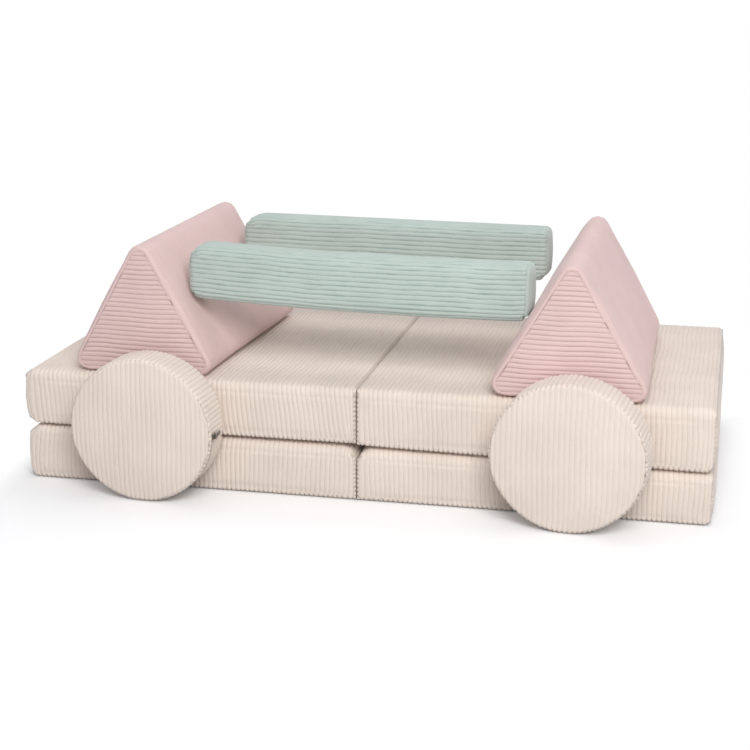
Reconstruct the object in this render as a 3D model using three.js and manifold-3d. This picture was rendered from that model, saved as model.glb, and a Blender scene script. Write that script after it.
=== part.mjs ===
// Modular foam play sofa: two folding mattresses stacked flat, two triangle blocks standing on them,
// two bars laid across between the triangles, and two discs standing against the front.
// Millimetres, +Z up, X along the mattresses, Y from the front to the back.
// The origin is on the floor under the middle of the whole sofa.

import * as THREE from 'three';
import { mergeVertices } from 'three/addons/utils/BufferGeometryUtils.js';
import Module from 'manifold-3d';

const wasm = await Module();
wasm.setup();

// Cloth and fits
const coverThickness = 3;
const clearance = 0.3;
const overrun = 1;
const leastRadius = 0.5;

// Mattress halves, four alike
const halfLength = 600;
const matDepth = 600;
const matHeight = 100;
const matEdge = 16;
const matSeamEdge = 6;
const matFoldEdge = 7;
const matCrown = 2;
const matEndCrown = 5;

// Cloth strip that joins the two halves of a mattress along their bottom edges
const stripWidth = 60;
const stripLength = 560;
const stripThickness = 1;

// Triangle blocks
const triangleBase = 280;
const triangleHeight = 250;
const triangleLength = 490;
const triangleEdge = 22;
const triangleSeamEdge = 9;
const triangleCrown = 3;
const slopeCrown = 4;

// Bars, the rear one a little shorter
const barFrontLength = 597;
const barRearLength = 594;
const barDepth = 73;
const barHeight = 96;
const barEdge = 14;
const barCrown = 2;
const barEndCrown = 4;
const barFrontSag = 5;

// Discs
const discDiameter = 252;
const discThickness = 75;
const discEdge = 7;
const discCrown = 3;
const discFlat = 1;

// Places of the loose blocks, from the fold line and the front of the mattresses
const triangleLeftX = -382;
const triangleRightX = 358;
const triangleLeftY = 12;
const triangleRightY = 2;
const triangleLeftYaw = -0.011;
const triangleRightYaw = 0.001;
const barFrontY = 88;
const barRearY = 402;
const barFrontYaw = -0.03;
const barRearYaw = -0.043;
const barFrontTilt = 0.016;
const barRearTilt = 0.002;
const discLeftX = -357;
const discRightX = 370;
const discLeftYaw = -0.056;
const discRightYaw = -0.078;

// Zips: the chain lies flush in a slot of the cover, the slider runs over it
const chainWidth = 6;
const chainThickness = 2.2;
const matChain = 480;
const matZipRise = 26;
const triangleChain = 180;
const triangleZipRise = 28;
const barChain = 460;
const barZipRise = 24;
const discChainTurn = Math.PI / 3;
const discLeftZipTurn = -0.03;
const discRightZipTurn = -2.4;
const discZipShare = 0.32;

// Slider: a base, two ears and the pin that the pull swings on
const sliderLength = 12;
const sliderWidth = 9;
const sliderBase = 2.6;
const earLength = 3.2;
const earThickness = 1.2;
const pinRadius = 0.7;

// Pull: a barrel round the pin and a plate that widens towards its tip
const pullLength = 28;
const pullWidth = 5;
const pullTipWidth = 7;
const pullThickness = 1.2;
const barrelRadius = 1.6;
const pullNeckShare = 0.3;
const pinTurn = Math.PI / 8;
const barrelSides = 8;

// Brings the product of the shares of a triangle's three sides to 1 in its middle
const triangleFullness = 27;

// Facets: rounded corners, rims, spans between the rims, and rings across an end
const fullSteps = { corner: 3, side: 2, rim: 3, span: 4, endShares: [0.4, 0.75] };
const plainSteps = { corner: 2, side: 1, rim: 2, span: 1, endShares: [] };
const bentSteps = { ...plainSteps, span: fullSteps.span };
const discFullSteps = { round: 32, rim: 3, span: 1, endShares: [0.35, 0.7] };
const discPlainSteps = { round: 32, rim: 1, span: 1, endShares: [] };
const discChainSteps = 10;

// Sizes that follow from the ones above
const layerHeight = matHeight + clearance;
const seatHeight = 2 * layerHeight;
const halfOffset = (halfLength + clearance) / 2;
const discRadius = discDiameter / 2;
const sliderTop = clearance + sliderBase;
const pinHeight = sliderTop + clearance + barrelRadius;
const pullDroop = Math.atan((pinHeight - pullThickness) / pullLength);
const chainWide = chainWidth + 2 * clearance;

const cream = new THREE.MeshStandardMaterial({ color: '#e2d5c8', roughness: 0.95, metalness: 0 });
const pink = new THREE.MeshStandardMaterial({ color: '#dfc0bd', roughness: 0.95, metalness: 0 });
const mint = new THREE.MeshStandardMaterial({ color: '#b9c9c1', roughness: 0.95, metalness: 0 });
const foam = new THREE.MeshStandardMaterial({ color: '#e9e4d2', roughness: 0.9, metalness: 0 });
const tape = new THREE.MeshStandardMaterial({ color: '#d9cec2', roughness: 0.8, metalness: 0 });
const metal = new THREE.MeshStandardMaterial({ color: '#a8a5a0', roughness: 0.35, metalness: 0.9 });

const alongX = new THREE.Matrix4().makeBasis(
  new THREE.Vector3(0, 1, 0),
  new THREE.Vector3(0, 0, 1),
  new THREE.Vector3(1, 0, 0),
);
const alongY = new THREE.Matrix4().makeBasis(
  new THREE.Vector3(1, 0, 0),
  new THREE.Vector3(0, 0, 1),
  new THREE.Vector3(0, -1, 0),
);

// Solids: closed meshes that can be joined and cut

function solidOf(geometry) {
  const bare = geometry.index ? geometry.clone() : geometry;
  bare.deleteAttribute('normal');
  bare.deleteAttribute('uv');
  const closed = mergeVertices(bare);
  const mesh = new wasm.Mesh({
    numProp: 3,
    vertProperties: new Float32Array(closed.attributes.position.array),
    triVerts: new Uint32Array(closed.index.array),
  });
  return new wasm.Manifold(mesh);
}

function geometryOf(solid) {
  const mesh = solid.getMesh();
  const geometry = new THREE.BufferGeometry();
  geometry.setAttribute('position', new THREE.BufferAttribute(mesh.vertProperties, 3));
  geometry.setIndex(new THREE.BufferAttribute(mesh.triVerts, 1));
  return geometry;
}

// A box from its low to its high corner
function boxBetween(low, high) {
  const size = high.map((value, axis) => value - low[axis]);
  const middle = high.map((value, axis) => (value + low[axis]) / 2);
  return new THREE.BoxGeometry(...size).translate(...middle);
}

// Sections: convex outlines with rounded corners, each side drawn in by its own inset

function roundedOutline(corners, radii, insets, steps) {
  const count = corners.length;
  const normals = corners.map((corner, i) => {
    const side = corners[(i + 1) % count].clone().sub(corner).normalize();
    return new THREE.Vector2(side.y, -side.x);
  });
  const arcs = corners.map((corner, i) => {
    const last = (i + count - 1) % count;
    const before = normals[last];
    const after = normals[i];
    const along = 1 + before.dot(after);
    const cross = before.cross(after);
    const toBefore = new THREE.Vector2(-after.y, after.x).multiplyScalar(-insets[last] / cross);
    const toAfter = new THREE.Vector2(before.y, -before.x).multiplyScalar(-insets[i] / cross);
    const vertex = corner.clone().sub(toBefore).sub(toAfter);
    const radius = Math.max(radii[i] - (insets[last] + insets[i]) / 2, leastRadius);
    const centre = vertex.clone().addScaledVector(before, -radius / along);
    centre.addScaledVector(after, -radius / along);
    const start = before.angle();
    const turn = Math.atan2(cross, before.dot(after));
    return Array.from({ length: steps.corner + 1 }, (_, k) => {
      const angle = start + (turn * k) / steps.corner;
      return new THREE.Vector2(Math.cos(angle), Math.sin(angle)).multiplyScalar(radius).add(centre);
    });
  });
  return arcs.flatMap((arc, i) => {
    const from = arc[arc.length - 1];
    const to = arcs[(i + 1) % count][0];
    const between = Array.from({ length: steps.side - 1 }, (_, k) =>
      from.clone().lerp(to, (k + 1) / steps.side),
    );
    return [...arc, ...between];
  });
}

function roundOutline(radius, steps) {
  return Array.from({ length: steps.round }, (_, k) => {
    const angle = (2 * Math.PI * (k + 1 / 2)) / steps.round;
    return new THREE.Vector2(Math.cos(angle), Math.sin(angle)).multiplyScalar(radius);
  });
}

// A padded block along Z: rings of its section from the middle of one end to the middle of the other.
// Each end has a rim of its own
function padGeometry(sectionAt, length, rims, steps) {
  const ringAt = (outline, height) => outline.map((point) => new THREE.Vector3(point.x, point.y, height));
  const ends = rims.map((rim) => {
    const endRing = sectionAt(rim);
    const middle = endRing.reduce((sum, point) => sum.add(point), new THREE.Vector2());
    middle.divideScalar(endRing.length);
    const rings = steps.endShares.map((share) =>
      ringAt(endRing.map((point) => middle.clone().lerp(point, share)), 0),
    );
    for (let k = 0; k <= steps.rim; k += 1) {
      const turn = ((k / steps.rim) * Math.PI) / 2;
      rings.push(ringAt(sectionAt(rim * (1 - Math.sin(turn))), rim * (1 - Math.cos(turn))));
    }
    return { middle: new THREE.Vector3(middle.x, middle.y, 0), rings };
  });
  const [first, last] = ends;
  const span = Array.from({ length: steps.span - 1 }, (_, k) =>
    ringAt(sectionAt(0), rims[0] + ((length - rims[0] - rims[1]) * (k + 1)) / steps.span),
  );
  const flip = (point) => new THREE.Vector3(point.x, point.y, length - point.z);
  const rings = [...first.rings, ...span, ...last.rings.reverse().map((ring) => ring.map(flip))];

  const around = rings[0].length;
  const points = [first.middle, ...rings.flat(), flip(last.middle)];
  const faces = [];
  for (let k = 0; k < around; k += 1) {
    const next = (k + 1) % around;
    faces.push(0, 1 + next, 1 + k);
    for (let ring = 0; ring < rings.length - 1; ring += 1) {
      const low = 1 + ring * around;
      const high = low + around;
      faces.push(low + k, low + next, high + next);
      faces.push(low + k, high + next, high + k);
    }
    const lastRing = points.length - 1 - around;
    faces.push(points.length - 1, lastRing + k, lastRing + next);
  }
  const geometry = new THREE.BufferGeometry().setFromPoints(points);
  geometry.setIndex(faces);
  return geometry;
}

// Moves each point of a geometry by what push returns for it
function swell(geometry, push) {
  const positions = geometry.attributes.position;
  const point = new THREE.Vector3();
  for (let i = 0; i < positions.count; i += 1) {
    point.fromBufferAttribute(positions, i);
    point.add(push(point));
    positions.setXYZ(i, point.x, point.y, point.z);
  }
  return geometry;
}

// Zips. In a zip's own frame X is the way the pull points, Z stands out of the cover

function sliderGeometry() {
  const base = boxBetween(
    [-sliderLength / 2, -sliderWidth / 2, clearance],
    [sliderLength / 2, sliderWidth / 2, sliderTop],
  );
  const earInside = pullWidth / 2 + clearance;
  let slider = solidOf(base);
  for (const side of [-1, 1]) {
    const ys = [side * earInside, side * (earInside + earThickness)].sort((a, b) => a - b);
    const ear = boxBetween(
      [-earLength / 2, ys[0], sliderTop - clearance],
      [earLength / 2, ys[1], pinHeight + barrelRadius],
    );
    slider = slider.add(solidOf(ear));
  }
  const pinLength = 2 * earInside + earThickness;
  const pin = new THREE.CylinderGeometry(pinRadius, pinRadius, pinLength, barrelSides);
  pin.rotateY(pinTurn).translate(0, 0, pinHeight);
  return geometryOf(slider.add(solidOf(pin)));
}

function pullGeometry() {
  const barrel = new THREE.CylinderGeometry(barrelRadius, barrelRadius, pullWidth, barrelSides);
  const bore = pinRadius + clearance;
  const hole = new THREE.CylinderGeometry(bore, bore, pullWidth + 2 * overrun, barrelSides);
  const neck = pullLength * pullNeckShare;
  const plate = new THREE.Shape([
    new THREE.Vector2(0, -pullWidth / 2),
    new THREE.Vector2(neck, -pullWidth / 2),
    new THREE.Vector2(neck + pullTipWidth - pullWidth, -pullTipWidth / 2),
    new THREE.Vector2(pullLength - pullThickness, -pullTipWidth / 2),
    new THREE.Vector2(pullLength, -pullWidth / 2),
    new THREE.Vector2(pullLength, pullWidth / 2),
    new THREE.Vector2(pullLength - pullThickness, pullTipWidth / 2),
    new THREE.Vector2(neck + pullTipWidth - pullWidth, pullTipWidth / 2),
    new THREE.Vector2(neck, pullWidth / 2),
    new THREE.Vector2(0, pullWidth / 2),
  ]);
  const sheet = new THREE.ExtrudeGeometry(plate, { depth: pullThickness, bevelEnabled: false });
  sheet.translate(0, 0, -pullThickness / 2);
  const solid = solidOf(barrel.rotateY(pinTurn)).add(solidOf(sheet)).subtract(solidOf(hole.rotateY(pinTurn)));
  return geometryOf(solid).rotateY(pullDroop).translate(0, 0, pinHeight);
}

// A straight zip along X on the back face: slot and chain, from the slider's place at rest to the far end
function straightZip(chain, backY, rise, towards) {
  const place = new THREE.Matrix4().makeBasis(
    new THREE.Vector3(towards, 0, 0),
    new THREE.Vector3(0, 0, -towards),
    new THREE.Vector3(0, 1, 0),
  );
  place.setPosition((-towards * (chain - sliderLength)) / 2, backY, rise);
  const slot = boxBetween(
    [-chain / 2 - clearance, backY - coverThickness - overrun, rise - chainWide / 2],
    [chain / 2 + clearance, backY + overrun, rise + chainWide / 2],
  );
  const strip = boxBetween(
    [-chain / 2, backY - chainThickness, rise - chainWidth / 2],
    [chain / 2, backY, rise + chainWidth / 2],
  );
  return { slot, strip, place };
}

// Part of a ring about Y, clockwise from an angle, for the zip round a disc's rim
function arcStrip(inner, outer, start, turn, width, margin) {
  const shape = new THREE.Shape();
  const points = [];
  for (let k = 0; k <= discChainSteps; k += 1) {
    const angle = start + margin - ((turn + 2 * margin) * k) / discChainSteps;
    points.push(new THREE.Vector2(Math.cos(angle), Math.sin(angle)));
  }
  const outside = points.map((point) => point.clone().multiplyScalar(outer));
  const inside = points.map((point) => point.clone().multiplyScalar(inner));
  shape.setFromPoints([...outside, ...inside.reverse()]);
  const strip = new THREE.ExtrudeGeometry(shape, { depth: width, bevelEnabled: false });
  return strip.translate(0, 0, -width / 2).applyMatrix4(alongY);
}

function discZip(start) {
  const zipY = discThickness * (discZipShare - 1 / 2);
  const lead = sliderWidth / 2 / discRadius;
  const first = start + lead;
  const inner = discRadius - chainThickness;
  const strip = arcStrip(inner, discRadius, first, discChainTurn, chainWidth, 0);
  const deep = discRadius - coverThickness - overrun;
  const margin = clearance / deep;
  const slot = arcStrip(deep, discRadius + overrun, first, discChainTurn, chainWide, margin);
  const radial = new THREE.Vector3(Math.cos(start), 0, Math.sin(start));
  const backward = new THREE.Vector3(0, 1, 0);
  const place = new THREE.Matrix4().makeBasis(backward, radial.clone().cross(backward), radial);
  place.setPosition(radial.multiplyScalar(discRadius).setY(zipY));
  return { slot: slot.translate(0, zipY, 0), strip: strip.translate(0, zipY, 0), place };
}

// A block: cover with its zip, foam core, slider and pull, in one group
function block(name, material, shells, zip, cuts = []) {
  const group = new THREE.Group();
  let cover = solidOf(shells.outer).subtract(solidOf(shells.cavity)).subtract(solidOf(zip.slot));
  for (const cut of cuts) {
    cover = cover.subtract(solidOf(cut));
  }
  addMesh(group, `${name}_cover`, geometryOf(cover), material);
  addMesh(group, `${name}_core`, shells.core, foam);
  addMesh(group, `${name}_zip`, zip.strip, tape);
  addMesh(group, `${name}_slider`, sliderGeometry().applyMatrix4(zip.place), metal);
  addMesh(group, `${name}_pull`, pullGeometry().applyMatrix4(zip.place), metal);
  return group;
}

function addMesh(group, name, geometry, material) {
  const mesh = new THREE.Mesh(geometry, material);
  mesh.name = name;
  group.add(mesh);
}

// The outer shell, the cavity inside it and the core inside that, from one function of an inset
function shellsOf(shapeAt) {
  return {
    outer: shapeAt(0, true),
    cavity: shapeAt(coverThickness, false),
    core: shapeAt(coverThickness + clearance, false),
  };
}

// Mattress half, centred on X, its front at Y 0 and its bottom at Z 0. foldSide says where the fold is

function matHalfShape(inset, formed, foldSide) {
  const corners = [
    new THREE.Vector2(0, 0),
    new THREE.Vector2(matDepth, 0),
    new THREE.Vector2(matDepth, matHeight),
    new THREE.Vector2(0, matHeight),
  ];
  const radii = [matSeamEdge, matSeamEdge, matEdge, matEdge];
  const sideShares = [matSeamEdge / matEdge, 1, 1, 1];
  const steps = formed ? fullSteps : plainSteps;
  const sectionAt = (drawn) => {
    const insets = sideShares.map((share) => inset + drawn * share);
    return roundedOutline(corners, radii, insets, steps);
  };
  const length = halfLength - 2 * inset;
  const rims = [matEdge - inset, matFoldEdge - inset];
  if (foldSide < 0) rims.reverse();
  const geometry = padGeometry(sectionAt, length, rims, steps);
  geometry.translate(0, 0, -length / 2).applyMatrix4(alongX);
  if (!formed) return geometry;
  return swell(geometry, ({ x, y, z }) => {
    const u = (2 * x) / halfLength;
    const v = (2 * y) / matDepth - 1;
    const w = (2 * z) / matHeight - 1;
    const outwards = u * foldSide < 0 ? u * (1 - w * w) : 0;
    const forwards = v < 0 ? v * (1 - u * u) * (1 - w * w) : 0;
    return new THREE.Vector3(matEndCrown * outwards, matCrown * forwards, 0);
  });
}

function matHalf(name, foldSide) {
  const shells = shellsOf((inset, formed) => matHalfShape(inset, formed, foldSide));
  const zip = straightZip(matChain, matDepth, matZipRise, foldSide);
  const foldX = foldSide * (halfLength / 2);
  const recessX = [foldX - foldSide * (stripWidth / 2 + clearance), foldX + foldSide * overrun];
  const recessFront = (matDepth - stripLength) / 2 - clearance;
  const recess = boxBetween(
    [Math.min(...recessX), recessFront, -overrun],
    [Math.max(...recessX), matDepth - recessFront, stripThickness + clearance],
  );
  return block(name, cream, shells, zip, [recess]);
}

function mattress(name) {
  const group = new THREE.Group();
  const left = matHalf(`${name}_left`, 1);
  left.position.x = -halfOffset;
  const right = matHalf(`${name}_right`, -1);
  right.position.x = halfOffset;
  const front = (matDepth - stripLength) / 2;
  const strip = boxBetween(
    [-stripWidth / 2, front, 0],
    [stripWidth / 2, matDepth - front, stripThickness],
  );
  addMesh(group, `${name}_hinge_strip`, strip, tape);
  group.add(left, right);
  return group;
}

// Triangle block, centred on X and Y, its base at Z 0

function triangleShape(inset, formed) {
  const corners = [
    new THREE.Vector2(-triangleBase / 2, 0),
    new THREE.Vector2(triangleBase / 2, 0),
    new THREE.Vector2(0, triangleHeight),
  ];
  const radii = [triangleEdge, triangleEdge, triangleEdge];
  const steps = formed ? fullSteps : plainSteps;
  const sectionAt = (drawn) => {
    const insets = corners.map(() => inset + drawn);
    return roundedOutline(corners, radii, insets, steps);
  };
  const length = triangleLength - 2 * inset;
  const rim = triangleSeamEdge - inset;
  const geometry = padGeometry(sectionAt, length, [rim, rim], steps);
  geometry.translate(0, 0, -length / 2).applyMatrix4(alongY);
  if (!formed) return geometry;
  const slopeNormal = new THREE.Vector2(triangleHeight, triangleBase / 2).normalize();
  return swell(geometry, ({ x, y, z }) => {
    const rise = z / triangleHeight;
    const right = Math.max(1 / 2 + x / triangleBase - rise / 2, 0);
    const left = Math.max(1 / 2 - x / triangleBase - rise / 2, 0);
    const bulge = triangleFullness * rise * right * left;
    const forwards = y < 0 ? (2 * y * bulge) / triangleLength : 0;
    const outwards = 4 * slopeCrown * rise * (right - left) * slopeNormal.x;
    const upwards = 4 * slopeCrown * rise * (right + left) * slopeNormal.y;
    return new THREE.Vector3(outwards, triangleCrown * forwards, upwards);
  });
}

function triangle(name, x, frontY, yaw) {
  const zip = straightZip(triangleChain, triangleLength / 2, triangleZipRise, 1);
  const group = block(name, pink, shellsOf(triangleShape), zip);
  group.position.set(x, frontY + triangleLength / 2, seatHeight);
  group.rotation.z = yaw;
  group.updateMatrixWorld();
  return group;
}

// Bar, centred on X, Y and Z, with its middle hung down by the sag

function barShape(inset, formed, fullLength, sag) {
  const corners = [
    new THREE.Vector2(-barDepth / 2, -barHeight / 2),
    new THREE.Vector2(barDepth / 2, -barHeight / 2),
    new THREE.Vector2(barDepth / 2, barHeight / 2),
    new THREE.Vector2(-barDepth / 2, barHeight / 2),
  ];
  const radii = [barEdge, barEdge, barEdge, barEdge];
  const steps = formed ? fullSteps : bentSteps;
  const sectionAt = (drawn) => {
    const insets = corners.map(() => inset + drawn);
    return roundedOutline(corners, radii, insets, steps);
  };
  const length = fullLength - 2 * inset;
  const rim = barEdge - inset;
  const geometry = padGeometry(sectionAt, length, [rim, rim], steps);
  geometry.translate(0, 0, -length / 2).applyMatrix4(alongX);
  const reach = fullLength / 2 - barEdge;
  return swell(geometry, ({ x, y, z }) => {
    const u = (2 * x) / fullLength;
    const v = (2 * y) / barDepth;
    const w = (2 * z) / barHeight;
    const hang = new THREE.Vector3(0, 0, -sag * Math.max(1 - (x / reach) ** 2, 0));
    if (!formed) return hang;
    const sideways = u * (1 - v * v) * (1 - w * w);
    const forwards = v < 0 ? v * (1 - u * u) * (1 - w * w) : 0;
    const upwards = w > 0 ? w * (1 - u * u) * (1 - v * v) : 0;
    return new THREE.Vector3(barEndCrown * sideways, barCrown * forwards, barCrown * upwards).add(hang);
  });
}

// The slope of a triangle that faces the middle: a point on its full crown and its normal
function innerSlope(group, side) {
  const normal = new THREE.Vector3(-side * triangleHeight, 0, triangleBase / 2).normalize();
  const foot = new THREE.Vector3((-side * triangleBase) / 2, 0, 0).addScaledVector(normal, slopeCrown);
  return { foot: foot.applyMatrix4(group.matrixWorld), normal: normal.transformDirection(group.matrixWorld) };
}

// How far a geometry reaches in a direction
function reachOf(geometry, direction) {
  const positions = geometry.attributes.position;
  const point = new THREE.Vector3();
  let reach = -Infinity;
  for (let i = 0; i < positions.count; i += 1) {
    reach = Math.max(reach, point.fromBufferAttribute(positions, i).dot(direction));
  }
  return reach;
}

// Lays a bar across between two slopes at a given Y, yaw and tilt: its rounded edges just clear both
function bar(name, length, slopes, y, yaw, tilt, sag) {
  const zip = straightZip(barChain, barDepth / 2, barZipRise - barHeight / 2, 1);
  const shells = shellsOf((inset, formed) => barShape(inset, formed, length, sag));
  const group = block(name, mint, shells, zip);
  group.rotation.set(0, tilt, yaw, 'ZYX');
  const turned = barShape(0, true, length, sag).applyQuaternion(group.quaternion);
  const heights = slopes.map(({ foot, normal }) => {
    const away = reachOf(turned, normal.clone().negate()) + clearance;
    return normal.dot(foot) + away - normal.y * y;
  });
  const [left, right] = slopes.map((slope) => slope.normal);
  const scale = left.x * right.z - left.z * right.x;
  const x = (heights[0] * right.z - heights[1] * left.z) / scale;
  const z = (left.x * heights[1] - right.x * heights[0]) / scale;
  group.position.set(x, y, z);
  return group;
}

// Disc about its own Y axis, centred, with a small flat where it stands

function discShape(inset, formed) {
  const steps = formed ? discFullSteps : discPlainSteps;
  const sectionAt = (drawn) => roundOutline(discRadius - inset - drawn, steps);
  const length = discThickness - 2 * inset;
  const rim = discEdge - inset;
  const geometry = padGeometry(sectionAt, length, [rim, rim], steps);
  geometry.translate(0, 0, -length / 2).applyMatrix4(alongY);
  const foot = discFlat + inset - discRadius;
  return swell(geometry, ({ x, y, z }) => {
    const dome = formed ? discCrown * Math.max(1 - (x * x + z * z) / discRadius ** 2, 0) : 0;
    return new THREE.Vector3(0, (2 * y * dome) / discThickness, Math.max(foot - z, 0));
  });
}

// Stands with its back rim against the front of the mattresses
function disc(name, x, yaw, zipTurn) {
  const group = block(name, cream, shellsOf(discShape), discZip(zipTurn));
  const lean = (discRadius - discEdge) * Math.abs(Math.sin(yaw));
  const backY = -matCrown - clearance - lean;
  group.position.set(x, backY - (discThickness / 2) * Math.cos(yaw), discRadius - discFlat);
  group.rotation.z = yaw;
  return group;
}

// The sofa

const lower = mattress('mat_lower');
const upper = mattress('mat_upper');
upper.position.z = layerHeight;

const triangleLeft = triangle('triangle_left', triangleLeftX, triangleLeftY, triangleLeftYaw);
const triangleRight = triangle('triangle_right', triangleRightX, triangleRightY, triangleRightYaw);
const slopes = [innerSlope(triangleLeft, -1), innerSlope(triangleRight, 1)];
const barFront = bar(
  'bar_front',
  barFrontLength,
  slopes,
  barFrontY,
  barFrontYaw,
  barFrontTilt,
  barFrontSag,
);
const barRear = bar('bar_rear', barRearLength, slopes, barRearY, barRearYaw, barRearTilt, 0);
const discLeft = disc('disc_left', discLeftX, discLeftYaw, discLeftZipTurn);
const discRight = disc('disc_right', discRightX, discRightYaw, discRightZipTurn);

const sofa = new THREE.Group();
sofa.add(lower, upper, triangleLeft, triangleRight, barFront, barRear, discLeft, discRight);
const middle = new THREE.Box3().setFromObject(sofa, true).getCenter(new THREE.Vector3());
sofa.position.set(-middle.x, -middle.y, 0);

export default sofa;
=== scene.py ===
import math

import bmesh
import bpy
import numpy as np
from mathutils import Matrix, Vector


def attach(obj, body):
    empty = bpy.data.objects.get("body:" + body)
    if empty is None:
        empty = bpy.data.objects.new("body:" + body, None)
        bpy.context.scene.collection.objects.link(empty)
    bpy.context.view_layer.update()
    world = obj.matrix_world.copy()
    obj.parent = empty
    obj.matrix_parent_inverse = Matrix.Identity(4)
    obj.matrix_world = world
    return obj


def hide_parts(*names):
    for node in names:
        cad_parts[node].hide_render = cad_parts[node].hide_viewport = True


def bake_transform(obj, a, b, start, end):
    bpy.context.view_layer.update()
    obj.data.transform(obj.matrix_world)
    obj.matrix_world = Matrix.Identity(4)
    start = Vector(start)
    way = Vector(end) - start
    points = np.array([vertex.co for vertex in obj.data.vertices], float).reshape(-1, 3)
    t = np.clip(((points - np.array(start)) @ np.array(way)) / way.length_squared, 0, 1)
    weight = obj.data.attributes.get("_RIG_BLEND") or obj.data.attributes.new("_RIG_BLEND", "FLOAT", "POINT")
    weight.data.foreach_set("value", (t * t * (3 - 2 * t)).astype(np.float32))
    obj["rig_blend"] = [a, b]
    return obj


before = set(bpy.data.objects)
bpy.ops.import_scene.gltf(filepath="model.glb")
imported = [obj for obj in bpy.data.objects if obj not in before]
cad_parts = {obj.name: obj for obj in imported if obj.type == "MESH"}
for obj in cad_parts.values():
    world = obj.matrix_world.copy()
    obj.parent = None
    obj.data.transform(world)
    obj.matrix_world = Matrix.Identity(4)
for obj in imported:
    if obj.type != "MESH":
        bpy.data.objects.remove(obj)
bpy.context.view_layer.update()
bpy.ops.object.select_all(action="DESELECT")
scene = bpy.context.scene
scene.view_settings.view_transform = "Standard"
mm = 0.001
print("frame loaded:", len(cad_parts), "nodes")

# The cloth: wide-wale corduroy. The wales are 8.4 mm apart and 1.4 mm deep
cloth = {
    "pitch": 8.4 * mm,
    "depth": 1.4 * mm,
    "fullness": 0.6,
    "uneven": (0.2, 31 * mm, 7),
    "seamDip": 0.7 * mm,
    "seamWidth": 2.2 * mm,
    "seamPull": (1.25, 0.5),
    "seamFlat": 0.5,
    # How much darker the colour turns along seams and hems: painted shade in the creases
    "seamShade": 0.3,
    "gatherLoss": 0.6,
    "stitchReach": 2.6 * mm,
    "puff": 1.0 * mm,
    "puffReach": 16 * mm,
    "pressure": 4,
    "pressureSteps": 20,
    "leastHold": 0.02,
    "give": 0.8 * mm,
    "waves": ((1.1, 0.37, 0.83), (0.7, 0.16, -0.41), (0.4, 0.071, 0.23)),
    "waveShifts": (2.4, 1.7),
    "still": 25 * mm,
    "lean": (-260, 40),
}

# Where the panels have their rows and columns: within a wale, beside a seam, round a rim or an edge
grid = {
    "waleStops": (0.0, 0.1, 0.28, 0.5, 0.72, 0.9),
    "seamStops": (1.2, 2.6, 5, 9),
    "rimSteps": 3,
    "edgeSteps": 4,
    "cornerSteps": 24,
    "foldSteps": 4,
    "stride": 14 * mm,
    "leastStep": 0.05,
    "leastStride": 0.01,
    "decimals": 5,
    "merge": 0.01 * mm,
    "least": 1e-9,
    "chunk": 60,
    "outlineSamples": 600,
    "rimSamples": 500,
    "hemSamples": 200,
}

# What a zip or a hinge strip takes out of the cover: spare room, slope beside it and depth, in mm
channels = {"zip": (0.6, 1.2, 2.9), "hinge": (0.4, 1.5, 1.35), "facing": 0.7}


# Materials. A noise runs from about 0.3 to 0.7, which is stretched over the range that it is to cover
noise = {"From Min": 0.3, "From Max": 0.7}


def colourOf(text):
    levels = [int(text[k : k + 2], 16) / 255 for k in (0, 2, 4)]
    return [c / 12.92 if c <= 0.04045 else ((c + 0.055) / 1.055) ** 2.4 for c in levels] + [1.0]


def addNode(tree, kind, inputs=None, **settings):
    node = tree.nodes.new(kind)
    for name, value in settings.items():
        setattr(node, name, value)
    for key, value in (inputs or {}).items():
        if isinstance(value, bpy.types.NodeSocket):
            tree.links.new(value, node.inputs[key])
        else:
            node.inputs[key].default_value = value
    return node


def newMaterial(name):
    material = bpy.data.materials.new(name)
    material.use_nodes = True
    material.node_tree.nodes.clear()
    return material, material.node_tree


def shade(tree, shader):
    addNode(tree, "ShaderNodeOutputMaterial", {"Surface": shader.outputs[0]})


# A colour that turns darker and lighter with a pattern
def mottled(tree, colour, spread):
    tone = addNode(tree, "ShaderNodeMapRange", spread)
    inputs = {0: colourOf(colour)[:3], "Scale": tone.outputs[0]}
    return addNode(tree, "ShaderNodeVectorMath", inputs, operation="SCALE").outputs[0]
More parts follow.
